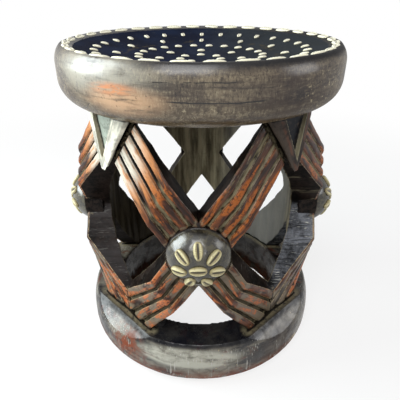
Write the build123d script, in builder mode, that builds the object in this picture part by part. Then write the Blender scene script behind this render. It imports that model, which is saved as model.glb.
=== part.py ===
from build123d import *
import os
from math import cos, pi, radians, sin, sqrt, tan

# A round carved stool: a dished seat and a ring base, joined by a wall of four ribbed
# crosses with a domed boss on each, and trimmed with cowrie shells.
# Millimetres. The origin is on the floor under the middle of the stool, +Z is up, and
# one cross faces -Y. Across, up and outward are measured on a cross as seen from outside.

# Seat
seat_height = 71            # underside to crown
seat_radius = 190           # widest, at the wall
seat_foot_inset = 30        # wall to where the underside starts
seat_wall_bottom = 31       # start of the upright wall, above the underside
seat_wall_height = 20
crown_inset = 8.5           # wall to the crown, the highest line of the seat
land_width = 15             # land inside the crown that carries the rim shells
land_slope = 12             # down towards the dish
lip_drop = 1.5              # bevel between land and dish
dish_depth = 26.5           # crown to the lowest point of the dish

# Openwork between base and seat
openwork_height = 310
seat_overhang = 14          # seat's wall beyond the flat middle of each cross
wall_thickness = 35         # from that face to the round hollow inside
hub_rise = 151              # base ring to the middle of the front cross
side_hub_rise = 146
back_hub_rise = 162
cross_count = 4

# Base ring
base_height = 76
base_overhang = 12          # base's wall beyond the face of each cross
base_foot_inset = 18
base_foot_round = 26        # height of the rounded lower edge
base_wall_height = 14       # upright part of the outer wall
base_top_inset = 9
base_lip = 4                # base's inner edge inside the hollow of the openwork
shoulder_inset = 22.5       # wall to the straight edge of each corner shoulder
shoulder_slope = 42

# Arms of the crosses
arm_slope = 55.5            # from the horizontal
arm_width = 54
rib_count = 4
groove_width = 5
groove_depth = 5
knee_centre_side = 98.5     # hub to knee along the edge nearest the cross's centre line
knee_corner_side = 70.3     # hub to knee along the other edge
upper_fall_centre_side = 28.7
upper_fall_corner_side = 33
lower_fall_centre_side = 20.7
lower_fall_corner_side = 37.4
upper_end_slant = 25.2      # end of an upper arm, from square
end_groove_width = 6        # across the end of an upper arm, against the corner block
end_groove_depth = 7

# Bosses
boss_radius = 41
boss_rise = 30              # dome, above the face of the cross
boss_socket = 26            # below that face

# Corner blocks under the seat
block_height = 68
block_inset = 12            # face of the crosses to the block's round front, at the seat
block_flare = 6             # front's lean, outwards on the way down
block_border_rise = 5       # front's edge above the arm that it meets
block_border_slope = 25
panel_half_width = 21
panel_height = 53
panel_depth = 6

# Cowrie shells: length, width and height of each kind
rim_cowrie = (24.5, 15, 4.5)
dish_cowrie = (15.5, 9, 3)
boss_cowrie = (21, 12.5, 5)
cowrie_sides = 8
cowrie_taper = 38
slit_share = 0.62           # length of the slit, of the shell's length
slit_width = 1.4
slit_depth = 1.2
cowrie_gap = 0.1            # under a flat-based shell on the curved dish or land
rim_cowrie_count = 34
boss_cowrie_count = 7       # round the shell at the top of the boss
boss_cowrie_radius = 24     # boss's axis to the middle of those shells
dish_ring_inset = 25        # dish's edge to the outer ring of shells

# Rings of shells in the dish, from the outside in: name, count, steps from the back to the
# first shell, and whether the shells point to the middle or all lie one way
dish_rings = (
    ("dish_cowries_outer", 28, 0, True),
    ("dish_cowries_middle", 11, 0, True),
    ("dish_cowries_inner", 22, 0.5, False),
    ("dish_cowries_centre", 7, 0, False),
    ("dish_cowries_heart", 7, 0, False),
)

# Heights and radii that follow
underside = base_height + openwork_height
crown = underside + seat_height
crown_radius = seat_radius - crown_inset
land_inner_radius = crown_radius - land_width * cos(radians(land_slope))
land_inner_height = crown - land_width * sin(radians(land_slope))
dish_radius = land_inner_radius - lip_drop
dish_edge = land_inner_height - lip_drop
dish_floor = crown - dish_depth
bowl_radius = (dish_radius**2 + (dish_edge - dish_floor) ** 2) / (2 * (dish_edge - dish_floor))
face_distance = seat_radius - seat_overhang     # axis to the flat middle of each cross
hollow_radius = face_distance - wall_thickness
base_radius = face_distance + base_overhang
hub_heights = {
    0: base_height + hub_rise,
    90: base_height + side_hub_rise,
    180: base_height + back_hub_rise,
    270: base_height + side_hub_rise,
}
cross_turn = 360 / cross_count
dome_radius = (boss_radius**2 + boss_rise**2) / (2 * boss_rise)
rib_width = (arm_width - (rib_count - 1) * groove_width) / rib_count
arm_across, arm_up = cos(radians(arm_slope)), sin(radians(arm_slope))
arm_root = hollow_radius * 0.4      # inside the hollow, which trims the arm
block_radius = face_distance - block_inset

os.makedirs("parts", exist_ok=True)


def save(part, name):
    """Label a finished piece and write it under its name."""
    part.label = name
    export_step(part, f"parts/{name}.step")


def on_cross(turn, across, up, outward):
    """Turn a direction given on a cross into one in space."""
    return Vector(across, -outward, up).rotate(Axis.Z, turn)


def cross_point(turn, across, up, outward):
    """A point by its distances from the cross's centre, and outward from the stool's axis."""
    return on_cross(turn, across, up, outward) + Vector(0, 0, hub_heights[turn])


# Seat: a turned drum with a flat land at its crown and a shallow dish.
with BuildPart() as seat:
    with BuildSketch(Plane.XZ):
        with BuildLine():
            seat_foot_radius = seat_radius - seat_foot_inset
            wall_bottom = underside + seat_wall_bottom
            wall_top = wall_bottom + seat_wall_height
            Line((0, dish_floor), (0, underside))
            Line((0, underside), (seat_foot_radius, underside))
            TangentArc((seat_radius, wall_bottom), (seat_foot_radius, underside), tangent=(0, -1))
            Line((seat_radius, wall_bottom), (seat_radius, wall_top))
            TangentArc((seat_radius, wall_top), (crown_radius, crown), tangent=(0, 1))
            Line((crown_radius, crown), (land_inner_radius, land_inner_height))
            Line((land_inner_radius, land_inner_height), (dish_radius, dish_edge))
            TangentArc((0, dish_floor), (dish_radius, dish_edge), tangent=(1, 0))
        make_face()
    revolve(axis=Axis.Z)
save(seat.part, "seat")

# Base ring: turned, with a flat sloping shoulder cut at each corner between two crosses.
with BuildPart() as base_ring:
    with BuildSketch(Plane.XZ):
        with BuildLine():
            hole_radius = hollow_radius - base_lip
            foot_radius = base_radius - base_foot_inset
            top_radius = base_radius - base_top_inset
            wall_top = base_foot_round + base_wall_height
            Line((hole_radius, base_height), (hole_radius, 0))
            Line((hole_radius, 0), (foot_radius, 0))
            TangentArc((base_radius, base_foot_round), (foot_radius, 0), tangent=(0, -1))
            Line((base_radius, base_foot_round), (base_radius, wall_top))
            TangentArc((base_radius, wall_top), (top_radius, base_height), tangent=(0, 1))
            Line((top_radius, base_height), (hole_radius, base_height))
        make_face()
    revolve(axis=Axis.Z)
    for corner in range(cross_count):
        turn = (corner + 0.5) * cross_turn
        edge = Vector(0, shoulder_inset - base_radius, base_height).rotate(Axis.Z, turn)
        waste = Vector(0, -sin(radians(shoulder_slope)), cos(radians(shoulder_slope)))
        shoulder = Plane(origin=edge, z_dir=waste.rotate(Axis.Z, turn))
        split(bisect_by=shoulder, keep=Keep.BOTTOM)
save(base_ring.part, "base_ring")


def arm_top(turn, level, share):
    """Start, knee and end of an arm's top line, as distances along the arm and outward.

    The share runs from 0 on the edge nearest the cross's centre line to 1 on the other edge.
    The level is 1 for an upper arm, which ends at the seat and a corner block, and -1 for a
    lower arm, which is drawn past the base and its neighbour and trimmed by them.
    """
    reach = underside - hub_heights[turn] if level > 0 else hub_heights[turn] - base_height
    full_end = (reach - arm_width / 2 * arm_across) / arm_up
    if level > 0:
        ends = (full_end, full_end - arm_width * tan(radians(upper_end_slant)))
        falls = (upper_fall_centre_side, upper_fall_corner_side)
    else:
        ends = (full_end + arm_width / 2, full_end + arm_width / 2)
        falls = (lower_fall_centre_side, lower_fall_corner_side)
    edges = []
    for knee, fall, end in zip((knee_centre_side, knee_corner_side), falls, ends):
        drop = (end - knee) * tan(radians(fall))
        edges.append((Vector(0, face_distance), Vector(knee, face_distance), Vector(end, face_distance - drop)))
    return [centre + (corner - centre) * share for centre, corner in zip(*edges)]


def arm_point(turn, level, side, share, top_point):
    """The place in space of a point of an arm's top line."""
    out = (share - 0.5) * arm_width
    across = side * (top_point.X * arm_across + out * arm_up)
    up = level * (top_point.X * arm_up - out * arm_across)
    return cross_point(turn, across, up, top_point.Y)


def arm_outline(turn, level, share):
    """The arm's outline across one place of its width: an upper arm steps down before its end."""
    start, knee, end = arm_top(turn, level, share)
    top = [start, knee, end]
    if level > 0:
        rib_end = end - (end - knee) * (end_groove_width / (end.X - knee.X))
        step = Vector(0, end_groove_depth)
        top = [start, knee, rib_end, rib_end - step, end - step]
    return [Vector(start.X, arm_root)] + top + [Vector(end.X, arm_root)]


def make_arm(turn, level, side):
    """One arm of a cross: a strip bent back at its knee, with grooves between its ribs."""
    handed = level * side
    centre = cross_point(turn, 0, 0, 0)
    middle = Plane(
        origin=centre,
        x_dir=on_cross(turn, side * arm_across, level * arm_up, 0),
        z_dir=on_cross(turn, side * arm_up, -level * arm_across, 0),
    )
    with BuildPart() as arm:
        for share in (0, 1):
            with BuildSketch(middle.offset((share - 0.5) * arm_width)):
                with BuildLine():
                    outline = arm_outline(turn, level, share)
                    Polyline([(point.X, handed * point.Y) for point in outline], close=True)
                make_face()
        loft(ruled=True)
        for groove in range(1, rib_count):
            out = groove * (rib_width + groove_width) - groove_width / 2
            start, knee, end = arm_top(turn, level, out / arm_width)
            past_end = end + (end - knee)
            outline = [(point.X, point.Y - groove_depth) for point in (start, knee, past_end)]
            outline += [(past_end.X, face_distance + groove_depth), (start.X, face_distance + groove_depth)]
            with BuildSketch(middle.offset(out - arm_width / 2)):
                with BuildLine():
                    Polyline([(along, handed * outward) for along, outward in outline], close=True)
                make_face()
            extrude(amount=groove_width / 2, both=True, mode=Mode.SUBTRACT)
        # The boss's socket, and the round hollow inside the openwork.
        socket_floor = cross_point(turn, 0, 0, face_distance - boss_socket)
        with BuildSketch(Plane(origin=socket_floor, z_dir=on_cross(turn, 0, 0, 1))):
            Circle(boss_radius)
        extrude(amount=boss_socket + groove_depth, mode=Mode.SUBTRACT)
        with BuildSketch(Plane.XY):
            Circle(hollow_radius)
        extrude(amount=crown, mode=Mode.SUBTRACT)
        # Trimmed at the cross's middle lines, at the corner and at the base or seat.
        far_height = underside if level > 0 else base_height
        split(bisect_by=Plane(origin=centre, z_dir=on_cross(turn, -side, 0, 0)), keep=Keep.BOTTOM)
        split(bisect_by=Plane(origin=centre, z_dir=on_cross(turn, 0, -level, 0)), keep=Keep.BOTTOM)
        split(bisect_by=Plane(origin=centre, z_dir=on_cross(turn, side, 0, -1)), keep=Keep.BOTTOM)
        split(bisect_by=Plane(origin=(0, 0, far_height), z_dir=(0, 0, level)), keep=Keep.BOTTOM)
    return arm.part


def dome_place(turn, radius, angle, sink=0):
    """A place on a boss's dome, square to its surface, with X away from the boss's axis."""
    height = sqrt(dome_radius**2 - radius**2)
    across, up = cos(radians(angle)), sin(radians(angle))
    outward = on_cross(turn, radius * across, radius * up, height).normalized()
    along = on_cross(turn, height * across, height * up, -radius)
    dome_centre = cross_point(turn, 0, 0, face_distance + boss_rise - dome_radius)
    return Plane(origin=dome_centre + outward * (dome_radius - sink), x_dir=along, z_dir=outward)


def boss_shell_places(turn):
    """The flats on a dome that its shells sit on, each as deep as the shell is long."""
    half_length = boss_cowrie[0] / 2
    sink = dome_radius - sqrt(dome_radius**2 - half_length**2)
    places = [dome_place(turn, 0, 0, sink)]
    for shell in range(boss_cowrie_count):
        places.append(dome_place(turn, boss_cowrie_radius, 90 + shell * 360 / boss_cowrie_count, sink))
    return places


def make_boss(turn):
    """The round hub of a cross, from its socket to its dome, with a flat cut for each shell."""
    socket_floor = face_distance - boss_socket
    tip = face_distance + boss_rise
    hub = Plane(origin=cross_point(turn, 0, 0, 0), x_dir=on_cross(turn, 1, 0, 0), z_dir=on_cross(turn, 0, 1, 0))
    with BuildPart() as boss:
        with BuildSketch(hub):
            with BuildLine():
                Line((0, -tip), (0, -socket_floor))
                Line((0, -socket_floor), (boss_radius, -socket_floor))
                Line((boss_radius, -socket_floor), (boss_radius, -face_distance))
                RadiusArc((boss_radius, -face_distance), (0, -tip), dome_radius)
            make_face()
        revolve(axis=Axis(origin=cross_point(turn, 0, 0, 0), direction=on_cross(turn, 0, 0, 1)))
        for flat in boss_shell_places(turn):
            split(bisect_by=flat, keep=Keep.BOTTOM)
    return boss.part


def make_corner_block(turn):
    """The block under the seat, right of a cross: it fills the corner between two arm ends."""
    corner_turn = turn + cross_turn / 2
    foot_radius = block_radius + block_height * tan(radians(block_flare))
    with BuildPart() as block:
        with Locations((0, 0, underside)):
            Cone(foot_radius, block_radius, block_height, align=(Align.CENTER, Align.CENTER, Align.MAX))
        with BuildSketch(Plane.XY):
            Circle(hollow_radius)
        extrude(amount=crown, mode=Mode.SUBTRACT)
        for cross, side in ((turn, 1), ((turn + 90) % 360, -1)):
            # The arm's end face, and a bevel that slopes down to it from the front.
            centre_end = arm_point(cross, 1, side, 0, arm_top(cross, 1, 0)[2])
            corner_end = arm_point(cross, 1, side, 1, arm_top(cross, 1, 1)[2])
            outward = on_cross(cross, 0, 0, 1)
            along = (corner_end - centre_end).normalized()
            end_normal = (along.cross(outward) * side).normalized()
            split(bisect_by=Plane(origin=centre_end, z_dir=end_normal), keep=Keep.BOTTOM)
            front_normal = end_normal.cross(along) * side
            bevel = radians(block_border_slope)
            bevel_normal = front_normal * cos(bevel) + end_normal * sin(bevel)
            edge = centre_end + outward * block_border_rise
            split(bisect_by=Plane(origin=edge, z_dir=bevel_normal), keep=Keep.BOTTOM)
        # A sunk three-cornered panel under the seat.
        flare = radians(block_flare)
        panel = Plane(
            origin=Vector(0, -block_radius, underside).rotate(Axis.Z, corner_turn),
            x_dir=Vector(1, 0, 0).rotate(Axis.Z, corner_turn),
            z_dir=Vector(0, -cos(flare), sin(flare)).rotate(Axis.Z, corner_turn),
        )
        past_seat = panel_height / 2
        past_half = panel_half_width * (panel_height + past_seat) / panel_height
        with BuildSketch(panel.offset(-panel_depth)):
            with BuildLine():
                Polyline((-past_half, past_seat), (past_half, past_seat), (0, -panel_height), close=True)
            make_face()
        extrude(amount=panel_depth * 2, mode=Mode.SUBTRACT)
    return block.part


def make_cowrie(length, width, height):
    """One shell, lying along X with its slit up."""
    corners = []
    for corner in range(cowrie_sides):
        angle = 2 * pi * (corner + 0.5) / cowrie_sides
        corners.append((length / 2 * cos(angle), width / 2 * sin(angle)))
    with BuildPart() as cowrie:
        with BuildSketch():
            with BuildLine():
                Polyline(corners, close=True)
            make_face()
        extrude(amount=height, taper=cowrie_taper)
        with BuildSketch(Plane.XY.offset(height)):
            Rectangle(length * slit_share, slit_width)
        extrude(amount=-slit_depth, mode=Mode.SUBTRACT)
    return cowrie.part


def bowl_place(radius, angle, radial):
    """A place on the dish, square to its surface, with X towards the rim or across the stool."""
    fall = sqrt(bowl_radius**2 - radius**2)
    up = Vector(-radius, 0, fall).normalized().rotate(Axis.Z, angle)
    foot = Vector(radius, 0, dish_floor + bowl_radius - fall).rotate(Axis.Z, angle)
    sideways = Vector(0, 1, 0).rotate(Axis.Z, angle) if radial else Vector(0, 1, 0)
    return Plane(origin=foot + up * cowrie_gap, x_dir=sideways.cross(up), z_dir=up)


for place, turn in (("front", 0), ("right", 90), ("back", 180), ("left", 270)):
    for level_name, level in (("upper", 1), ("lower", -1)):
        for side_name, side in (("left", -1), ("right", 1)):
            save(make_arm(turn, level, side), f"arm_{place}_{level_name}_{side_name}")
    save(make_boss(turn), f"boss_{place}")
    boss_shell = make_cowrie(*boss_cowrie)
    with BuildPart() as boss_cowries:
        with Locations(*boss_shell_places(turn)):
            add(boss_shell)
    save(boss_cowries.part, f"boss_cowries_{place}")

for corner_name, turn in (("front_right", 0), ("back_right", 90), ("back_left", 180), ("front_left", 270)):
    save(make_corner_block(turn), f"corner_block_{corner_name}")

rim_shell = make_cowrie(*rim_cowrie)
with BuildPart() as rim_cowries:
    # Square to the sloping land, end to end round it.
    land_middle = Vector((crown_radius + land_inner_radius) / 2, 0, (crown + land_inner_height) / 2)
    land_up = Vector(-sin(radians(land_slope)), 0, cos(radians(land_slope)))
    rim_places = []
    for shell in range(rim_cowrie_count):
        angle = shell * 360 / rim_cowrie_count
        foot = (land_middle + land_up * cowrie_gap).rotate(Axis.Z, angle)
        along = Vector(0, 1, 0).rotate(Axis.Z, angle)
        rim_places.append(Plane(origin=foot, x_dir=along, z_dir=land_up.rotate(Axis.Z, angle)))
    with Locations(*rim_places):
        add(rim_shell)
save(rim_cowries.part, "rim_cowries")

dish_shell = make_cowrie(*dish_cowrie)
ring_pitch = (dish_radius - dish_ring_inset) / len(dish_rings)
for ring, (name, count, first_step, radial) in enumerate(dish_rings):
    radius = ring_pitch * (len(dish_rings) - ring)
    with BuildPart() as dish_ring:
        angles = [90 + (first_step + shell) * 360 / count for shell in range(count)]
        with Locations(*[bowl_place(radius, angle, radial) for angle in angles]):
            add(dish_shell)
    save(dish_ring.part, name)
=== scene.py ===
import math

import bmesh
import bpy
import numpy as np
from mathutils import Matrix, Quaternion, Vector
from mathutils.bvhtree import BVHTree


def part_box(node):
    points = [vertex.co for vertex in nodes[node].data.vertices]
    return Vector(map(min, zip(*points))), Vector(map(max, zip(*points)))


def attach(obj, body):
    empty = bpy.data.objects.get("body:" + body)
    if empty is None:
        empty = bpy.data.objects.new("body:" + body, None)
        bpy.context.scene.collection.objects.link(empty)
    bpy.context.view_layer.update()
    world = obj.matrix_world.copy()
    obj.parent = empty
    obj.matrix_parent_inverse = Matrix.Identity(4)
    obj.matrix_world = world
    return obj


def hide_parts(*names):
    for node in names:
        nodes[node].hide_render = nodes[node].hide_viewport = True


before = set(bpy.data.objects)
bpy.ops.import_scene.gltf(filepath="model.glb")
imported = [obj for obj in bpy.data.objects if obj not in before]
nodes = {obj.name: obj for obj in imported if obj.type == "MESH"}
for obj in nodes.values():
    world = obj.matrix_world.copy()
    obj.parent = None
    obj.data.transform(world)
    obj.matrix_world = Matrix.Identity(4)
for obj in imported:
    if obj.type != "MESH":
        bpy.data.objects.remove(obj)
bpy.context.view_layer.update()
mm = 0.001

# The stool is looked at from in front and above, so near that the seat looks much wider
# than the base.
view_distance, view_height, view_side = 0.57288, 0.52196, -0.00122
view_turn, view_pitch, view_roll = math.radians(1.01), math.radians(28.56), math.radians(-0.12)
lens = bpy.data.cameras.new("view")
lens.sensor_width, lens.lens = 36, 35.98
camera = bpy.data.objects.new("view", lens)
bpy.context.scene.collection.objects.link(camera)
upright_turn = Quaternion((0, 0, 1), view_turn)
camera.rotation_mode = "QUATERNION"
camera.rotation_quaternion = (
    upright_turn @ Quaternion((1, 0, 0), math.radians(90) - view_pitch) @ Quaternion((0, 0, 1), view_roll)
)
camera.location = upright_turn @ Vector((view_side, -view_distance, view_height))
bpy.context.scene.camera = camera
bpy.context.scene.view_settings.view_transform = "Standard"


# The stool stands on a plain pale board that keeps its shadow and fades to white further off.
# Finishes are built from tones: a tone is one output of a finish's nodes, and sums, products
# and powers of tones add the Math nodes for them.
class Tone:
    def __init__(self, socket):
        self.socket = socket

    def add(self, kind, settings=None, sockets=None, output=0):
        """Adds one node: its settings come first, then the values or tones of its sockets."""
        tree = self.socket.id_data
        node = tree.nodes.new("ShaderNode" + kind)
        for name, value in (settings or {}).items():
            setattr(node, name, value)
        for name, value in (sockets or {}).items():
            if isinstance(value, Tone):
                tree.links.new(value.socket, node.inputs[name])
            else:
                node.inputs[name].default_value = value
        return Tone(node.outputs[output]) if node.outputs else None

    def math(self, operation, first, second):
        return self.add("Math", {"operation": operation}, {0: first, 1: second})

    def __add__(self, other):
        return self.math("ADD", self, other)

    def __sub__(self, other):
        return self.math("SUBTRACT", self, other)

    def __rsub__(self, other):
        return self.math("SUBTRACT", other, self)

    def __mul__(self, other):
        return self.math("MULTIPLY", self, other)

    def __pow__(self, other):
        return self.math("POWER", self, other)

    __radd__, __rmul__ = __add__, __mul__

    def larger(self, other):
        return self.math("MAXIMUM", self, other)

    def between(self, low, high):
        """0 where this tone is at low, 1 at high, and a soft step in between."""
        steps = {"Value": self, "From Min": low, "From Max": high}
        return self.add("MapRange", {"interpolation_type": "SMOOTHSTEP"}, steps)

    def band(self, low, high, soft):
        """1 where this tone lies between low and high, with soft ends."""
        return self.between(low - soft, low + soft) * self.between(high + soft, high - soft)

    def mixed(self, bare, full):
        """Between two colours, by this tone: a Mix node has its colours in sockets 6 and 7."""
        return self.add("Mix", {"data_type": "RGBA", "clamp_factor": True}, {0: self, 6: bare, 7: full}, 2)

    def covered(self, colour, mask):
        """This colour, with another laid over it where the mask is 1."""
        return mask.mixed(self, colour)

    def stretched(self, x, y, z):
        """This place, drawn out along its axes: a share under 1 makes a pattern longer."""
        return self.add("VectorMath", {"operation": "MULTIPLY"}, {0: self, 1: (x, y, z)})

    def noise(self, size, detail=3.0, rough=0.55, warp=0.0):
        """Cloudy noise whose blotches are about this size."""
        sockets = {"Vector": self, "Scale": 1 / size, "Detail": detail}
        return self.add("TexNoise", {}, sockets | {"Roughness": rough, "Distortion": warp})

    def cracks(self, size, width):
        """1 on thin lines between cells of this size."""
        sockets = {"Vector": self, "Scale": 1 / size}
        cells = self.add("TexVoronoi", {"feature": "DISTANCE_TO_EDGE"}, sockets)
        return cells.between(width / size, 0)

    def spot(self, middle, reach):
        """1 at a place, and 0 past its reach along each axis, both in millimetres."""
        middle, reach = (tuple(mm * part for part in parts) for parts in (middle, reach))
        away = self.add("VectorMath", {"operation": "SUBTRACT"}, {0: self, 1: middle})
        share = self.add("VectorMath", {"operation": "DIVIDE"}, {0: away, 1: reach})
        return share.length().between(1, 0.2)

    def length(self):
        return self.add("VectorMath", {"operation": "LENGTH"}, {0: self}, "Value")

    def axes(self):
        return [self.add("SeparateXYZ", {}, {0: self}, axis) for axis in range(3)]

    def kept(self, name, output="Fac"):
        """A value that was marked on the piece."""
        return self.add("Attribute", {"attribute_name": name}, output=output)


def dye(red, green, blue):
    """A colour as it is seen, each part from 0 to 255, in the linear shares that nodes take."""
    shares = (part / 255 for part in (red, green, blue))
    return (*((s / 12.92 if s < 0.04 else ((s + 0.055) / 1.055) ** 2.4) for s in shares), 1)


def start_finish(name):
    """A new material, and the tone of the place on the object."""
    material = bpy.data.materials.new(name)
    material.use_nodes = True
    material.node_tree.nodes.clear()
    place = Tone(material.node_tree.nodes.new("ShaderNodeTexCoord").outputs["Object"])
    return material, place


def end_finish(material, place, colour, roughness, relief, depth, gloss):
    """Ends a finish with its surface: relief is a height from 0 to 1, and depth its full height."""
    bump = place.add("Bump", {}, {"Height": relief, "Distance": depth, "Strength": 1.0})
    sockets = {"Base Color": colour, "Roughness": roughness, "Normal": bump}
    surface = place.add("BsdfPrincipled", {}, sockets | gloss)
    place.add("OutputMaterial", {}, {"Surface": surface})
    return material


def seen_by(place):
    """1 for what is looked at straight, in gloss or through glass, and 0 for light on a piece."""
    rays = ("Is Camera Ray", "Is Glossy Ray", "Is Transmission Ray")
    straight, in_gloss, through_glass = (place.add("LightPath", output=ray) for ray in rays)
    return straight.larger(in_gloss).larger(through_glass)


board_size, near_white, fade_start, fade_end = 40, 0.78, 0.4, 1.5
bpy.ops.object.select_all(action="DESELECT")
bpy.ops.mesh.primitive_plane_add(size=board_size)
floor = bpy.context.object
floor.name = "floor"
floor_paint, floor_place = start_finish("floor_paint")
seen = seen_by(floor_place)
whiteness = floor_place.length().between(fade_start, fade_end) * (1 - near_white) + near_white
painted = floor_place.add("BsdfDiffuse", {}, {"Color": dye(243, 243, 243)})
white = floor_place.add("Emission", {}, {"Color": (1, 1, 1, 1), "Strength": 1.0})
board = seen.add("MixShader", {}, {0: seen * whiteness, 1: painted, 2: white})
floor_place.add("OutputMaterial", {}, {"Surface": board})
floor.data.materials.append(floor_paint)

# The room is pale and dim, with a tall window on the stool's left, a soft panel above its
# front and a small weak one on its right. Seen straight, in gloss or through glass, it is
# white.
room_light = 0.17
studio = bpy.data.worlds.new("studio")
studio.use_nodes = True
sky = studio.node_tree.nodes["Background"]
room_seen = seen_by(Tone(sky.outputs[0]))
studio.node_tree.links.new((room_seen * (1 - room_light) + room_light).socket, sky.inputs["Strength"])
sky.inputs["Color"].default_value = (1, 1, 1, 1)
bpy.context.scene.world = studio


def add_panel(name, place, aim_height, size, power, colour):
    """A soft light panel that faces the stool's axis at a height, in metres and watts."""
    lamp = bpy.data.lights.new(name, "AREA")
    lamp.shape = "RECTANGLE"
    lamp.size, lamp.size_y = size
    lamp.energy = power
    lamp.color = colour
    panel = bpy.data.objects.new(name, lamp)
    bpy.context.scene.collection.objects.link(panel)
    panel.location = place
    panel.rotation_euler = (Vector((0, 0, aim_height)) - Vector(place)).to_track_quat("-Z", "Y").to_euler()


day_white, plain_white, cool_white = (0.9, 0.99, 1.0), (1.0, 1.0, 1.0), (0.97, 0.98, 1.0)
add_panel("window_left", (-1.34, -0.1, 0.86), 0.26, size=(0.95, 1.2), power=34, colour=day_white)
add_panel("overhead", (-0.2, -1.1, 1.5), 0.25, size=(0.9, 0.9), power=17, colour=plain_white)
add_panel("fill_right", (1.4, -0.3, 0.8), 0.25, size=(0.6, 0.7), power=6, colour=cool_white)

# Seat: the dished drum at the top of the log, hewn round, stained and waxed, blue-black in
# the dish and rubbed to grey-brown outside. All the wood is a copy of its solid, carved.
wood_nodes = [name for name in nodes if "cowries" not in name]
merge_gap, touch_gap, facing = 0.001 * mm, 0.1 * mm, -0.9
seam_growth, seam_reach = 1.6 * mm, 12 * mm
wander_size = 45 * mm


def wall_of(names, filled=False):
    """One search tree over the faces of these solids, or of the hulls that fill their grooves."""
    points, faces = [], []
    for name in names:
        solid = bmesh.new()
        solid.from_mesh(nodes[name].data)
        if filled:
            hull = bmesh.ops.convex_hull(solid, input=solid.verts)
            bmesh.ops.delete(solid, geom=hull["geom_interior"] + hull["geom_unused"], context="VERTS")
        solid.verts.index_update()
        faces += [tuple(len(points) + corner.index for corner in face.verts) for face in solid.faces]
        points += [corner.co.copy() for corner in solid.verts]
        solid.free()
    return BVHTree.FromPolygons(points, faces)


def pick(piece):
    """Makes this the only piece selected, and the active one."""
    bpy.ops.object.select_all(action="DESELECT")
    bpy.context.view_layer.objects.active = piece
    piece.select_set(True)


def copy_solid(node, name):
    """Copies a solid and merges its loose triangles, and stays in edit mode with all selected."""
    piece = bpy.data.objects.new(name, nodes[node].data.copy())
    piece.data.materials.clear()
    bpy.context.scene.collection.objects.link(piece)
    pick(piece)
    bpy.ops.object.mode_set(mode="EDIT")
    bpy.ops.mesh.select_mode(type="VERT")
    bpy.ops.mesh.select_all(action="SELECT")
    bpy.ops.mesh.remove_doubles(threshold=merge_gap)
    return piece


def carve_copy(node, grain, neighbours=None):
    """Copies a solid, grows it a little into the neighbours that it touches, and remeshes it."""
    piece = copy_solid(node, node + "_wood")
    bpy.ops.mesh.select_mode(type="FACE")
    bpy.ops.mesh.select_all(action="DESELECT")
    if neighbours:
        for face in bmesh.from_edit_mesh(piece.data).faces:
            spot, normal, _, _ = neighbours.find_nearest(face.calc_center_median(), touch_gap)
            if spot is not None and normal.dot(face.normal) < facing:
                face.select_set(True)
        bmesh.update_edit_mesh(piece.data)
        bpy.ops.mesh.extrude_region_shrink_fatten(TRANSFORM_OT_shrink_fatten={"value": seam_growth})
    bpy.ops.object.mode_set(mode="OBJECT")
    remesh = piece.modifiers.new("remesh", "REMESH")
    remesh.mode = "VOXEL"
    remesh.voxel_size = grain
    bpy.ops.object.modifier_apply(modifier=remesh.name)
    return piece


def places_of(piece):
    """The corner points of a piece, a row for each."""
    places = np.empty(len(piece.data.vertices) * 3)
    piece.data.vertices.foreach_get("co", places)
    return places.reshape(-1, 3)


def move_to(piece, places):
    """Moves the corner points of a piece to these places."""
    piece.data.vertices.foreach_set("co", places.ravel())


def step(values, low, high):
    """0 at low and 1 at high, softly, as a tone's between does."""
    share = np.clip((values - low) / (high - low), 0, 1)
    return share * share * (3 - 2 * share)


def mark(piece, name, values):
    """Keeps a value for each corner point of a piece, for its finish to read."""
    attribute = piece.data.attributes.new(name, "FLOAT", "POINT")
    attribute.data.foreach_set("value", values.astype(np.float32))


def mark_seams(piece, neighbours):
    """Keeps how far each point lies from the wood next to it, up to the reach of the dust."""
    found = [neighbours.find_nearest(Vector(place), seam_reach)[3] for place in places_of(piece)]
    mark(piece, "seam", np.array([seam_reach if gap is None else gap for gap in found]))


def chisel(piece, marks, wander=0.0):
    """Cuts marks into a piece, each a size and depth, and lets its lines wander a little."""
    pick(piece)
    for size, depth in marks:
        texture = bpy.data.textures.new(piece.name, "CLOUDS")
        texture.noise_scale = size
        cut = piece.modifiers.new("cut", "DISPLACE")
        cut.texture, cut.texture_coords = texture, "LOCAL"
        cut.mid_level, cut.strength = 1.0, depth
        bpy.ops.object.modifier_apply(modifier=cut.name)
    if wander:
        texture = bpy.data.textures.new(piece.name, "CLOUDS")
        texture.noise_scale, texture.cloud_type = wander_size, "COLOR"
        drift = piece.modifiers.new("drift", "DISPLACE")
        drift.texture, drift.texture_coords, drift.direction = texture, "LOCAL", "RGB_TO_XYZ"
        drift.mid_level, drift.strength = 0.5, wander
        bpy.ops.object.modifier_apply(modifier=drift.name)
    bpy.ops.object.shade_smooth()


waxed = {"Specular IOR Level": 0.0, "Coat Roughness": 0.27, "Coat IOR": 1.65}


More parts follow.
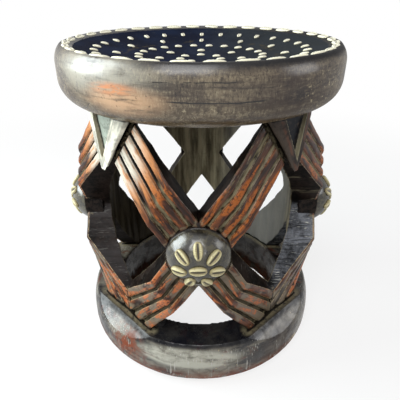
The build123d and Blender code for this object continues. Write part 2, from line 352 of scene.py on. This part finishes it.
def seat_finish():
    material, place = start_finish("seat_wood")
    x, _, z = place.axes()
    seam = place.kept("seam")
    patches = place.noise(70 * mm, 4, 0.6, 0.4)
    streaks = place.stretched(1, 1, 7).noise(60 * mm, 5, 0.62, 0.3)
    smears = place.stretched(1, 1, 4).noise(14 * mm, 4, 0.6, 0.5)
    specks = place.noise(5 * mm, 4, 0.7)
    mottle = place.noise(3.5 * mm, 4, 0.75, 0.4)
    scuffs = place.stretched(1, 1, 0.36).noise(2.4 * mm, 5, 0.8, 0.3)
    # The stain, smeared round the drum and scuffed up and down.
    wood = (patches * 0.6 + streaks * 0.4).between(0.4, 0.6).mixed(dye(54, 44, 36), dye(112, 99, 80))
    wood = wood.covered(dye(42, 30, 24), smears.between(0.48, 0.62) * 0.5)
    wood = wood.covered(dye(150, 138, 112), scuffs.between(0.53, 0.6) * streaks.between(0.34, 0.54) * 0.65)
    wood = wood.covered(dye(24, 17, 14), scuffs.between(0.47, 0.39) * 0.75)
    wood = wood.covered(dye(140, 128, 104), mottle.between(0.58, 0.66) * 0.45)
    lower = z.between(428 * mm, 392 * mm)
    wood = wood.covered(dye(92, 76, 54), lower * smears.between(0.36, 0.6) * 0.7)
    # Painted shade and a dark burn on the right, and on the left a painted highlight and wood that hands
    # have rubbed pale or bare.
    shade = place.spot((110, -160, 424), (110, 100, 50)) * (patches * 0.5 + smears * 0.5).between(0.34, 0.56)
    wood = wood.covered(dye(40, 27, 22), shade * 0.8)
    burn = place.spot((104, -158, 420), (22, 60, 13)) * smears.between(0.34, 0.5)
    wood = wood.covered(dye(26, 18, 17), burn * 0.8)
    # A painted highlight on the front left of the seat.
    painted_highlight_left = (patches * 0.5 + streaks * 0.5).between(0.32, 0.52)
    painted_highlight_left = place.spot((-106, -150, 442), (110, 90, 30)) * painted_highlight_left
    wood = wood.covered(dye(168, 164, 150), painted_highlight_left * 0.85)
    rub = place.spot((-78, -172, 417), (66, 70, 22)) * streaks.between(0.3, 0.54)
    wood = wood.covered(dye(196, 158, 122), rub * 0.85)
    bare = place.spot((-88, -170, 428), (34, 60, 9)) * smears.between(0.38, 0.6)
    wood = wood.covered(dye(202, 132, 86), bare * 0.9)
    # Specks, dust, and the cracks of a dried log.
    wood = wood.covered(dye(44, 35, 30), specks.between(0.6, 0.68) * 0.6)
    dust = place.noise(6 * mm, 4, 0.75).between(0.58, 0.66)
    dusty = place.spot((135, -125, 420), (60, 60, 34)) + place.spot((-20, -186, 408), (120, 60, 16)) * 0.6
    wood = wood.covered(dye(176, 162, 130), dust * dusty)
    height = z + (place.noise(22 * mm, 3) - 0.5) * 5 * mm
    near_crack = place.spot((20, -186, 420), (64, 60, 40)).between(0, 0.4)
    crack = height.band(418.6 * mm, 419.8 * mm, 0.4 * mm) * near_crack
    near_dashes = place.spot((-8, -186, 437), (60, 60, 40)).between(0, 0.4)
    dashes = height.band(438.2 * mm, 439 * mm, 0.4 * mm) * near_dashes
    splits = place.stretched(0.35, 0.35, 1.6).cracks(44 * mm, 0.5 * mm) * patches.between(0.5, 0.6)
    cut = crack.larger(dashes * smears.between(0.44, 0.5)).larger(splits * 0.6)
    wood = wood.covered(dye(10, 7, 6), cut * 0.95)
    # The crown is stained dark, except at the front left, which stays pale for the painted highlight.
    crown = z.between(446 * mm, 454 * mm) * (1 - place.spot((-126, -136, 450), (130, 120, 40)))
    wood = wood.covered(dye(10, 11, 18), crown * 0.95)
    # Painted shade where the arms and blocks meet the seat.
    wood = wood.covered(dye(34, 26, 20), seam.between(4 * mm, 0.5 * mm) * 0.7)
    roughness = 0.4 + patches * 0.16 + lower * 0.1
    relief = streaks * 0.3 + smears * 0.2 + scuffs * 0.3 + specks * 0.2 - cut * 1.5
    dull = x.between(0, 160 * mm) * 0.4 + lower * 0.2
    gloss = waxed | {"Coat Weight": 0.88 - crown * 0.3 - dull}
    return end_finish(material, place, wood, roughness, relief, 0.8 * mm, gloss)


def dish_finish():
    """The dish is dyed blue-black, with a worn ring where the shells were first marked out."""
    material, place = start_finish("dish_wood")
    x, y, _ = place.axes()
    radius = (x * x + y * y) ** 0.5
    clouds = place.noise(45 * mm, 3, 0.5)
    specks = place.noise(4 * mm, 4, 0.7)
    stain = clouds.between(0.35, 0.65).mixed(dye(3, 11, 32), dye(12, 24, 48))
    stain = stain.covered(dye(46, 50, 50), (clouds * 0.5 + x * 4).between(0.1, 0.7) * 0.7)
    worn = radius.band(100 * mm, 112 * mm, 3 * mm) * place.noise(16 * mm, 3, 0.6).between(0.5, 0.62)
    stain = stain.covered(dye(66, 58, 44), worn * 0.6)
    stain = stain.covered(dye(84, 80, 70), specks.between(0.62, 0.7) * 0.5)
    gloss = waxed | {"Coat Weight": 0.07}
    return end_finish(material, place, stain, 0.3 + specks * 0.15, specks, 0.25 * mm, gloss)


dish_radius, dish_bottom = 166 * mm, 427 * mm
seat = carve_copy("seat", 2.2 * mm)
mark_seams(seat, wall_of([name for name in wood_nodes if name not in ("seat", "base_ring")]))
chisel(seat, [(40 * mm, 0.8 * mm), (9 * mm, 0.25 * mm)])
seat.data.materials.append(seat_finish())
seat.data.materials.append(dish_finish())
for face in seat.data.polygons:
    if math.hypot(face.center.x, face.center.y) < dish_radius and face.center.z > dish_bottom:
        face.material_index = 1
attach(seat, "root")
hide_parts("seat")


# Base ring: the foot of the log, drawn in below and hollowed through, with a sloping
# shoulder at each corner. Stained dark, scratched, and bruised red-brown where it is kicked.
def base_finish():
    material, place = start_finish("base_wood")
    x, y, z = place.axes()
    seam = place.kept("seam")
    patches = place.noise(60 * mm, 4, 0.6, 0.4)
    streaks = place.stretched(1, 1, 5).noise(50 * mm, 5, 0.62, 0.3)
    mottle = place.noise(16 * mm, 4, 0.65, 0.6)
    specks = place.noise(5 * mm, 4, 0.7)
    # The stain, with a painted silver sheen in front and painted shade on the right.
    wood = (patches * 0.5 + streaks * 0.5).between(0.42, 0.58).mixed(dye(20, 17, 18), dye(112, 106, 94))
    wood = wood.covered(dye(14, 13, 15), (mottle * 0.5 + streaks * 0.5).between(0.5, 0.62) * 0.45)
    wood = wood.covered(dye(78, 36, 26), place.noise(24 * mm, 4, 0.6, 0.8).between(0.56, 0.66) * 0.7)
    silver_painted_sheen = (mottle * 0.3 + streaks * 0.7).between(0.66, 0.44)
    silver_painted_sheen = silver_painted_sheen * place.spot((-20, -186, 53), (110, 70, 22)).between(0, 0.6)
    wood = wood.covered(dye(176, 174, 160), silver_painted_sheen * 0.85)
    base_painted_shade = place.spot((112, -140, 40), (66, 80, 44)) * patches.between(0.3, 0.5)
    wood = wood.covered(dye(52, 41, 34), base_painted_shade * 0.75)
    # Kicks at the foot, upright scratches and pale chips.
    foot = z.between(38 * mm, 8 * mm).larger(place.spot((-108, -150, 48), (40, 50, 40)))
    wood = wood.covered(dye(124, 66, 46), foot * mottle.between(0.36, 0.54) * 0.85)
    scratched = place.noise(44 * mm, 2).between(0.46, 0.6).larger(place.spot((14, -180, 50), (90, 60, 30)))
    lines = place.stretched(1, 1, 0.04).noise(1.8 * mm, 2, 0.5).between(0.61, 0.68) * scratched
    wood = wood.covered(dye(176, 172, 164), lines * 0.8)
    chips = place.noise(5 * mm, 3, 0.7).between(0.64, 0.68) * place.noise(50 * mm, 2).between(0.52, 0.62)
    chips = chips.larger(place.spot((149, -115, 25), (14, 14, 9)) * specks.between(0.46, 0.52))
    wood = wood.covered(dye(190, 172, 132), chips * 0.8)
    # The hollow is darkened with painted shade, the crest in front of it is painted near-black, and dust
    # lies along the arms' feet beside a line of painted shade.
    hollow = ((x * x + y * y) ** 0.5).between(146 * mm, 138 * mm)
    wood = wood.covered(dye(22, 16, 12), hollow * y.between(-60 * mm, -20 * mm) * 0.85)
    crest = z.between(67 * mm, 73 * mm).larger(hollow)
    wood = wood.covered(dye(8, 9, 16), crest * y.between(-40 * mm, -80 * mm) * 0.9)
    border = seam.between(11 * mm, 4 * mm) * (mottle * 0.6 + specks * 0.4).between(0.36, 0.54)
    wood = wood.covered(dye(120, 111, 88), border * 0.7)
    wood = wood.covered(dye(12, 10, 8), seam.between(2.6 * mm, 0.9 * mm) * 0.95)
    relief = streaks * 0.4 + mottle * 0.25 + specks * 0.35 - chips - lines * 0.4
    sheen = mottle.between(0.62, 0.42) * 0.25 + 0.6 - crest * 0.4 - foot * 0.55 - base_painted_shade * 0.3
    gloss = waxed | {"Coat Weight": sheen.larger(0.0)}
    return end_finish(material, place, wood, 0.36 + patches * 0.16, relief, 0.8 * mm, gloss)


base = carve_copy("base_ring", 2 * mm)
mark_seams(base, wall_of([name for name in wood_nodes if "lower" in name], filled=True))
chisel(base, [(35 * mm, 1.0 * mm), (9 * mm, 0.3 * mm)])
base.data.materials.append(base_finish())
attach(base, "root")
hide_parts("base_ring")

# Arms: each cross has four ribbed arms, bent back at a knee and hollowed behind. The carver
# cut the grooves with a V tool, and the gouge left upright flutes inside the hollow.
arm_slope = math.radians(55.5)
arm_width, face_distance = 54 * mm, 176 * mm
rib_centre, rib_pitch, rib_half = 7.375 * mm, 14.75 * mm, 4.9 * mm
rib_roundness, rib_foot, groove_bottom = 1.3 * mm, 4.1 * mm, 6.5 * mm
knees = (98.5 * mm, 70.3 * mm)
upper_falls = (math.radians(28.7), math.radians(33))
lower_falls = (math.radians(20.7), math.radians(37.4))
upper_end_slant = math.radians(25.2)
hollow_radius = 141 * mm
underside, base_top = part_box("seat")[0].z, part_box("base_ring")[1].z
flute_count, flute_depth, flute_sway, flute_shift = 44, 1.6 * mm, 1.3, 0.8
grain_length = 0.22
hand_marks, hand_wander = [(22 * mm, 0.8 * mm), (6 * mm, 0.25 * mm)], 2.2 * mm


def on_cross(places, turn, hub_height):
    """Across, up and outward of each place, as seen by someone who faces the cross."""
    c, s = math.cos(turn), math.sin(turn)
    across = places[:, 0] * c + places[:, 1] * s
    outward = places[:, 0] * s - places[:, 1] * c
    return across, places[:, 2] - hub_height, outward


def on_arm(places, turn, hub_height, level, side):
    """How deep each place lies under the tops of the ribs, and its place along and across."""
    across, up, outward = on_cross(places, turn, hub_height)
    along = side * across * math.cos(arm_slope) + level * up * math.sin(arm_slope)
    aside = side * across * math.sin(arm_slope) - level * up * math.cos(arm_slope)
    share = np.clip(aside / arm_width + 0.5, 0, 1)
    reach = underside - hub_height if level > 0 else hub_height - base_top
    full_end = (reach - arm_width / 2 * math.cos(arm_slope)) / math.sin(arm_slope)
    corner_end = full_end - arm_width * math.tan(upper_end_slant)
    ends = (full_end, corner_end) if level > 0 else (full_end + arm_width / 2,) * 2
    falls = upper_falls if level > 0 else lower_falls
    drops = [(end - knee) * math.tan(fall) for end, knee, fall in zip(ends, knees, falls)]
    knee = knees[0] + (knees[1] - knees[0]) * share
    end = ends[0] + (ends[1] - ends[0]) * share
    drop = drops[0] + (drops[1] - drops[0]) * share
    top = face_distance - np.clip(along - knee, 0, None) * drop / (end - knee)
    return top - outward, along, aside


def round_ribs(piece, turn, depth, aside):
    """Rounds the tops of the ribs over towards the grooves."""
    from_centre = np.abs((aside - rib_centre + rib_pitch / 2) % rib_pitch - rib_pitch / 2)
    rib_tops = step(depth, 3.2 * mm, 0.6 * mm)
    fall = rib_roundness * np.clip(from_centre / rib_half, 0, 1) ** 3 * rib_tops
    places = places_of(piece)
    places[:, 0] -= math.sin(turn) * fall
    places[:, 1] += math.cos(turn) * fall
    move_to(piece, places)


def flute(piece):
    """Cuts the swaying upright flutes of a gouge into the hollow's wall, and marks that wall."""
    places = places_of(piece)
    radius = np.hypot(places[:, 0], places[:, 1])
    around = np.arctan2(places[:, 1], places[:, 0])
    wave = around * flute_count + flute_sway * np.sin(places[:, 2] * 21) + flute_shift * np.sin(around * 5)
    inside = step(radius, hollow_radius + 3 * mm, hollow_radius + 0.8 * mm)
    cut = flute_depth * (0.5 + 0.5 * np.cos(wave)) ** 0.7 * inside
    places[:, :2] *= (1 + cut / radius)[:, None]
    move_to(piece, places)
    mark(piece, "inside", inside)


dry = {"Specular IOR Level": 0.0, "Coat Weight": 0.3, "Coat Roughness": 0.3}
flank_dark, flank_pale, seam_painted_shade = dye(9, 7, 6), dye(36, 28, 24), dye(14, 11, 9)


def arm_finish():
    material, place = start_finish("arm_wood")
    depth, seam, inside = place.kept("depth"), place.kept("seam"), place.kept("inside")
    grain = place.kept("grain", "Vector")
    x, y, z = place.axes()
    low, right = z.between(235 * mm, 215 * mm), x.between(20 * mm, 90 * mm)
    side_right, side_left = x.between(96 * mm, 120 * mm), x.between(-90 * mm, -120 * mm)
    patches = place.noise(34 * mm, 3, 0.55, 0.4)
    long_streaks = grain.noise(5 * mm, 4, 0.62, 0.3)
    blotches = grain.noise(13 * mm, 4, 0.6, 0.8)
    fine = place.noise(5 * mm, 4, 0.7)
    # The flanks: dark stain with the chisel's level marks, and a painted blue-grey sheen low on the right.
    wood = (patches * 0.5 + fine * 0.5).between(0.4, 0.6).mixed(flank_dark, flank_pale)
    # A painted blue-grey sheen on the lower right flanks.
    sheen = low * side_right * (patches * 0.6 + fine * 0.4).between(0.3, 0.7)
    wood = wood.covered(dye(118, 121, 128), sheen)
    notches = place.stretched(0.08, 0.08, 1).noise(3.2 * mm, 2, 0.6, 0.2).between(0.55, 0.62)
    wood = wood.covered(dye(20, 20, 22), notches * low * side_right * 0.7)
    wood = wood.covered(dye(58, 54, 54), low * side_left * long_streaks.between(0.3, 0.7) * 0.8)
    cuts = place.stretched(0.09, 0.09, 1).noise(1.5 * mm, 2, 0.6, 0.3).between(0.6, 0.66)
    cuts = cuts * place.noise(16 * mm, 3).between(0.4, 0.54)
    wood = wood.covered(dye(190, 188, 180), cuts * low * (side_right * 0.8 + 0.1))
    scrape = grain.noise(2.6 * mm, 4, 0.7).between(0.54, 0.66) * patches.between(0.44, 0.58)
    wood = wood.covered(dye(128, 120, 98), scrape * (1 - low) * right * 0.7)
    # The ribs: stain rubbed through to red-brown, with painted sunlight and highlights near the front left
    # and back right corners.
    rib = long_streaks.between(0.36, 0.62).mixed(dye(30, 14, 9), dye(92, 50, 26))
    chips = (blotches - low * x.between(-5 * mm, 30 * mm) * 0.09).between(0.49, 0.56)
    chips = chips * fine.between(0.4, 0.5)
    rib = rib.covered(low.mixed(dye(152, 82, 28), dye(168, 94, 50)), chips * 0.95)
    # A painted grey sheen on the lower ribs.
    rib = rib.covered(dye(108, 96, 80), low * patches.between(0.44, 0.54) * (1 - chips) * 0.9)
    rib = rib.covered(dye(24, 15, 12), blotches.between(0.45, 0.36) * 0.85)
    # Painted sunlight and highlights on the ribs near the front left and back right corners.
    sunlit_reach = (120, 110, 125)
    painted_sunlight = place.spot((-120, -128, 345), sunlit_reach).larger(place.spot((120, 128, 345), sunlit_reach))
    rib = rib.covered(dye(196, 134, 84), painted_sunlight.between(0.1, 0.6) * blotches.between(0.38, 0.52) * 0.85)
    rib = rib.covered(dye(202, 198, 184), painted_sunlight.between(0.45, 0.9) * long_streaks.between(0.34, 0.52) * 0.85)
    first_rib = grain.axes()[1].between(-12 * mm, -16 * mm) * z.between(245 * mm, 270 * mm)
    smoked = z.between(330 * mm, 372 * mm).larger(first_rib) * x.between(20 * mm, 50 * mm)
    smoked = smoked * y.between(-90 * mm, -120 * mm)
    rib = rib.covered(dye(26, 21, 20), smoked * 0.85)
    rib = rib.covered(dye(120, 108, 84), smoked * grain.noise(3 * mm, 4, 0.7).between(0.5, 0.62) * 0.7)
    on_rib = depth.between(rib_foot + 0.6 * mm, rib_foot - 0.6 * mm)
    wood = wood.covered(rib, on_rib)
    rim = depth.band(rib_foot - 1.6 * mm, rib_foot - 0.4 * mm, 0.5 * mm) * fine.between(0.4, 0.54)
    wood = wood.covered(dye(190, 172, 138), rim * (low * 0.3 + 0.5))
    # The grooves: painted shade inside them, with pale dust on their sides.
    groove = depth.band(rib_foot, groove_bottom, 0.5 * mm) * inside.between(0.5, 0)
    groove = groove * place.kept("ribbed")
    dust = groove * long_streaks.between(0.34, 0.58) * (1 - painted_sunlight.between(0.1, 0.4))
    wood = wood.covered(dye(14, 9, 7), groove * 0.95)
    wood = wood.covered(dye(140, 130, 104), dust * (1 - low * 0.7) * 0.9)
    # The hollow: bare olive wood from the gouge, with painted light on the right and painted shade on the
    # left.
    upright = place.stretched(1, 1, 0.12).noise(13 * mm, 4, 0.6)
    bare = upright.between(0.36, 0.64).mixed(dye(76, 68, 52), dye(146, 135, 110))
    bare = bare.covered(dye(134, 132, 128), right * y.between(-30 * mm, 40 * mm) * 0.85)
    bare = bare.covered(dye(26, 20, 15), x.between(-40 * mm, -100 * mm) * 0.85)
    wood = wood.covered(bare, inside)
    # The seams: dust lodged beside a line of painted shade.
    near_ribs = depth.between(12 * mm, 6 * mm)
    lodged = seam.band(2 * mm, 5 * mm, 1.5 * mm) * fine.between(0.44, 0.56) * near_ribs
    wood = wood.covered(dye(128, 118, 94), lodged * 0.7)
    wood = wood.covered(seam_painted_shade, seam.between(2.4 * mm, 0.5 * mm) * near_ribs * 0.9)
    relief = long_streaks * 0.4 + fine * 0.6 - cuts * 0.5
    roughness = 0.4 + fine * 0.16 + groove * 0.3 + inside * 0.2
    gloss = dry | {"Coat Weight": on_rib * (1 - inside) * 0.45 + sheen * 0.3 + 0.1}
    return end_finish(material, place, wood, roughness, relief, 0.7 * mm, gloss)


arm_wood = arm_finish()
crosses = (("front", 0), ("right", 90), ("back", 180), ("left", 270))
arm_count = 0
for place_name, degrees in crosses:
    turn = math.radians(degrees)
    low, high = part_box("boss_" + place_name)
    hub_height = (low.z + high.z) / 2
    for level_name, level in (("upper", 1), ("lower", -1)):
        for side_name, side in (("left", -1), ("right", 1)):
            node = f"arm_{place_name}_{level_name}_{side_name}"
            neighbours = wall_of([name for name in wood_nodes if name != node])
            arm = carve_copy(node, 1.3 * mm, neighbours)
            depth, along, aside = on_arm(places_of(arm), turn, hub_height, level, side)
            round_ribs(arm, turn, depth, aside)
            mark(arm, "depth", depth)
            mark(arm, "ribbed", step(np.abs(aside), 25.6 * mm, 24 * mm))
            # The grain runs along the arm, and each arm has its own.
            grain = np.stack((along * grain_length, aside, np.full_like(along, arm_count)), 1)
            kept = arm.data.attributes.new("grain", "FLOAT_VECTOR", "POINT")
            kept.data.foreach_set("vector", grain.astype(np.float32).ravel())
            flute(arm)
            mark_seams(arm, neighbours)
            chisel(arm, hand_marks, hand_wander)
            arm.data.materials.append(arm_wood)
            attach(arm, "root")
            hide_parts(node)
            arm_count += 1

# Corner blocks: the log's round front shows on each one, bevelled towards the arms, with a
# sunk three-cornered panel between worn borders, painted lit on two of the blocks.
panel_half_width, panel_height, border_radius = 21 * mm, 53 * mm, 160 * mm


def block_finish():
    material, place = start_finish("block_wood")
    seam, inside, panel, front = (place.kept(name) for name in ("seam", "inside", "panel", "front"))
    x = place.axes()[0]
    patches = place.noise(26 * mm, 4, 0.6, 0.4)
    fine = place.noise(6 * mm, 4, 0.7)
    reach = (90, 90, 90)
    lit = place.spot((-112, -120, 350), reach).larger(place.spot((112, 120, 350), reach)).between(0.1, 0.6)
    wood = (patches * 0.5 + fine * 0.5).between(0.4, 0.6).mixed(dye(26, 20, 17), dye(58, 48, 42))
    # The border, worn, and painted lit on two of the blocks, with a line gouged along one side of it.
    border = lit.mixed(dye(70, 60, 50), dye(226, 222, 206))
    worn = patches.between(0.42, 0.56)
    wood = wood.covered(border, front * panel.between(0.6 * mm, -0.6 * mm) * (lit * 0.5 + worn * 0.5))
    rust = front * panel.band(-9 * mm, -5 * mm, 2 * mm) * worn
    wood = wood.covered(dye(120, 62, 34), rust * (0.3 - lit * 0.2))
    groove = front * panel.band(-5.2 * mm, -4.2 * mm, 0.5 * mm) * x.between(1 * mm, -1 * mm)
    wood = wood.covered(dye(120, 122, 108), groove * 0.7)
    # The sunk panel, painted lit on two blocks and shaded on the others, speckled and smeared, between a
    # painted edge highlight and a painted shadow line.
    sunk = panel.between(0.2 * mm, 1.4 * mm)
    wood = wood.covered(lit.mixed(dye(12, 15, 22), dye(156, 164, 152)), sunk)
    wood = wood.covered(dye(80, 70, 60), sunk * fine.between(0.54, 0.64) * 0.5)
    wood = wood.covered(dye(156, 148, 122), panel.band(-1.2 * mm, 0.8 * mm, 0.8 * mm) * front * 0.7)
    wood = wood.covered(dye(24, 22, 20), panel.band(0.6 * mm, 2.4 * mm, 0.6 * mm) * 0.95)
    smear = panel.between(2 * mm, 6 * mm) * lit * patches.between(0.5, 0.62)
    wood = wood.covered(dye(84, 84, 80), smear * 0.5)
    wood = wood.covered(dye(92, 84, 66), inside)
    # Painted shade where the block meets the wood next to it.
    wood = wood.covered(seam_painted_shade, seam.between(2.6 * mm, 0.6 * mm) * (1 - inside) * 0.9)
    roughness = 0.4 + fine * 0.16 + inside * 0.2
    return end_finish(material, place, wood, roughness, patches * 0.4 + fine * 0.6, 0.6 * mm, dry)


block_wood = block_finish()
for corner, degrees in (("front_right", 45), ("back_right", 135), ("back_left", 225), ("front_left", 315)):
    node = "corner_block_" + corner
    neighbours = wall_of([name for name in wood_nodes if name != node])
    block = carve_copy(node, 1.2 * mm, neighbours)
    across, up, outward = on_cross(places_of(block), math.radians(degrees), underside)
    mark(block, "panel", panel_half_width * (1 + up / panel_height) - np.abs(across))
    mark(block, "front", step(outward, border_radius - 8 * mm, border_radius - 4 * mm))
    flute(block)
    mark_seams(block, neighbours)
    chisel(block, hand_marks, hand_wander)
    block.data.materials.append(block_wood)
    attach(block, "root")
    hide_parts(node)


# Bosses: the domed hub of each cross, with a flat under each of its shells. Each is waxed to
# a shine, duller towards one side, and its skirt is as dark as the arms' flanks.
def boss_finish():
    material, place = start_finish("boss_wood")
    dome, seam = place.kept("dome"), place.kept("seam")
    patches = place.noise(24 * mm, 4, 0.6, 0.4)
    fine = place.noise(6 * mm, 4, 0.7)
    wood = (patches * 0.5 + fine * 0.5).between(0.4, 0.6).mixed(dye(20, 17, 12), dye(70, 65, 48))
    wood = wood.covered(dye(14, 10, 8), place.noise(11 * mm, 4, 0.6, 0.5).between(0.52, 0.62) * 0.75)
    wood = wood.covered(fine.between(0.4, 0.6).mixed(flank_dark, flank_pale), dome.between(0.6, 0))
    # Painted shade where the dome meets the wood next to it.
    wood = wood.covered(dye(18, 14, 11), seam.between(2.4 * mm, 0.5 * mm) * dome * 0.9)
    dull = place.axes()[0].between(-8 * mm, 26 * mm) * 0.4
    gloss = waxed | {"Coat Weight": dome * (0.9 - dull) + 0.1, "Coat Roughness": 0.22, "Coat IOR": 1.75}
    return end_finish(material, place, wood, 0.34 + fine * 0.16, patches * 0.4 + fine * 0.6, 0.6 * mm, gloss)


boss_wood = boss_finish()
for place_name, degrees in crosses:
    node = "boss_" + place_name
    neighbours = wall_of([name for name in wood_nodes if name != node])
    boss = carve_copy(node, 1.1 * mm, neighbours)
    outward = on_cross(places_of(boss), math.radians(degrees), 0)[2]
    mark(boss, "dome", step(outward, face_distance, face_distance + 3 * mm))
    mark_seams(boss, neighbours)
    chisel(boss, [(20 * mm, 0.7 * mm), (6 * mm, 0.25 * mm)])
    boss.data.materials.append(boss_wood)
    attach(boss, "root")
    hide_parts(node)


# Cowrie shells: natural shells, glued or let into the wood with their toothed slit up. Two
# thick lips roll in to a slit painted dark with shade.
slit_width, slit_depth = 0.17, 0.66
lip_place, lip_width = 0.62, 0.26
tooth_place, tooth_width, tooth_depth = 0.34, 0.2, 0.12
egg_taper = 0.1
smallest_share, turn_spread = 0.92, math.radians(4)


def ridge(angle, place, width):
    """1 along a line on each side of the shell's top, at an angle from it."""
    return np.exp(-(((np.abs(angle) - place) / width) ** 2))


def model_shell(name, size, rings, segments, teeth):
    """One shell, along X, with its slit up and its foot at the origin."""
    length, width, height = size
    bpy.ops.object.select_all(action="DESELECT")
    bpy.ops.mesh.primitive_uv_sphere_add(segments=segments, ring_count=rings, rotation=(0, math.pi / 2, 0))
    shell = bpy.context.object
    shell.name = name
    bpy.ops.object.transform_apply(location=False, rotation=True, scale=False)
    places = places_of(shell)
    reach = places[:, 0].copy()
    girth = np.sqrt(np.clip(1 - reach**2, 0, 1))
    angle = np.arctan2(places[:, 1], places[:, 2])
    slit = ridge(angle, 0, slit_width) * step(np.abs(reach), 0.93, 0.75)
    lip = ridge(angle, lip_place, lip_width) * step(np.abs(reach), 0.97, 0.7)
    tooth = (0.5 + 0.5 * np.cos(reach * math.pi * teeth)) * ridge(angle, tooth_place, tooth_width)
    egg = 1 - egg_taper * reach
    across = np.sign(angle) * np.abs(np.sin(angle)) ** 0.85
    rise = np.clip(np.cos(angle), 0, 1) ** 0.6
    places[:, 0] = reach * length / 2
    places[:, 1] = across * girth**0.9 * egg * width / 2
    places[:, 2] = rise * girth**0.6 * height * (1 - slit_depth * slit - tooth_depth * tooth)
    move_to(shell, places)
    mark(shell, "slit", slit)
    mark(shell, "lip", lip)
    mark(shell, "tooth", tooth)
    return shell


def shell_seats(node):
    """Foot, length axis and upward axis of each shell of a node, in order round the stool."""
    copy_solid(node, "trial")
    bpy.ops.mesh.separate(type="LOOSE")
    bpy.ops.object.mode_set(mode="OBJECT")
    seats = []
    for solid in list(bpy.context.selected_objects):
        places = places_of(solid)
        middle = places.mean(0)
        axes = np.linalg.eigh(np.cov((places - middle).T))[1]
        up, along = Vector(axes[:, 0]), Vector(axes[:, 2])
        outward = Vector((middle[0], middle[1], 0)) if "boss" in node else Vector((0, 0, 1))
        if up.dot(outward) < 0:
            up = -up
        foot = ((places - middle) @ np.array(up)).min()
        seats.append((Vector(middle) + up * foot, along, up))
        bpy.data.objects.remove(solid)
    return sorted(seats, key=lambda seat: math.atan2(seat[0].y, seat[0].x))


def shell_finish():
    """The shells on the seat are cleaner and whiter than those lower down."""
    material, place = start_finish("cowrie_shell")
    slit, lip, tooth = (place.kept(name) for name in ("slit", "lip", "tooth"))
    patches = place.noise(12 * mm, 3, 0.6)
    fine = place.noise(2.5 * mm, 3, 0.6)
    high = place.axes()[2].between(350 * mm, 400 * mm)
    shell = patches.between(0.36, 0.62).mixed(dye(160, 148, 104), dye(206, 196, 152))
    shell = shell.covered(high.mixed(dye(226, 218, 170), dye(250, 246, 222)), (lip + high * 0.8) * 0.85)
    shell = shell.covered(dye(120, 98, 64), fine.between(0.56, 0.7) * (1 - high * 0.7) * 0.55)
    shell = shell.covered(dye(104, 88, 58), (1 - lip) * (1 - high) * patches.between(0.4, 0.56) * 0.6)
    shell = shell.covered(dye(90, 68, 44), tooth * 0.7)
    # Painted shade in the slit.
    shell = shell.covered(dye(34, 26, 20), slit.between(0.3, 0.66))
    polish = {"Specular IOR Level": 0.5}
    return end_finish(material, place, shell, 0.3 + fine * 0.15, fine, 0.15 * mm, polish)


shell_paint = shell_finish()
rng = np.random.default_rng(7)


def set_shells(node, pattern, sink):
    """Sets a copy of the shell where each shell of the node lies, no two quite alike."""
    copies = []
    for foot, along, up in shell_seats(node):
        size = rng.uniform(smallest_share, 1.0, 3)
        if rng.random() < 0.5:
            along = -along
        along = Quaternion(up, rng.normal(0, turn_spread)) @ along
        turned = Matrix((along, up.cross(along), up)).transposed()
        copy = bpy.data.objects.new(node + "_copy", pattern.data.copy())
        bpy.context.scene.collection.objects.link(copy)
        place = Matrix.Translation(foot - up * sink) @ turned.to_4x4() @ Matrix.Diagonal((*size, 1))
        copy.data.transform(place)
        copies.append(copy)
    pick(copies[0])
    for copy in copies:
        copy.select_set(True)
    bpy.ops.object.join()
    shells = bpy.context.object
    shells.name = node + "_shells"
    shells.data.materials.append(shell_paint)
    bpy.ops.object.shade_smooth()
    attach(shells, "root")
    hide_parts(node)


rim_shell = model_shell("rim_shell", (25 * mm, 10.5 * mm, 3.6 * mm), rings=26, segments=22, teeth=11)
set_shells("rim_cowries", rim_shell, sink=1.6 * mm)
boss_shell = model_shell("boss_shell", (23.5 * mm, 13 * mm, 5.6 * mm), rings=30, segments=26, teeth=11)
for place_name, degrees in crosses:
    set_shells("boss_cowries_" + place_name, boss_shell, sink=0.7 * mm)
dish_shell = model_shell("dish_shell", (12 * mm, 7 * mm, 3 * mm), rings=14, segments=14, teeth=0)
for ring in ("outer", "middle", "inner", "centre", "heart"):
    set_shells("dish_cowries_" + ring, dish_shell, sink=0.8 * mm)
for pattern in (rim_shell, boss_shell, dish_shell):
    bpy.data.objects.remove(pattern)
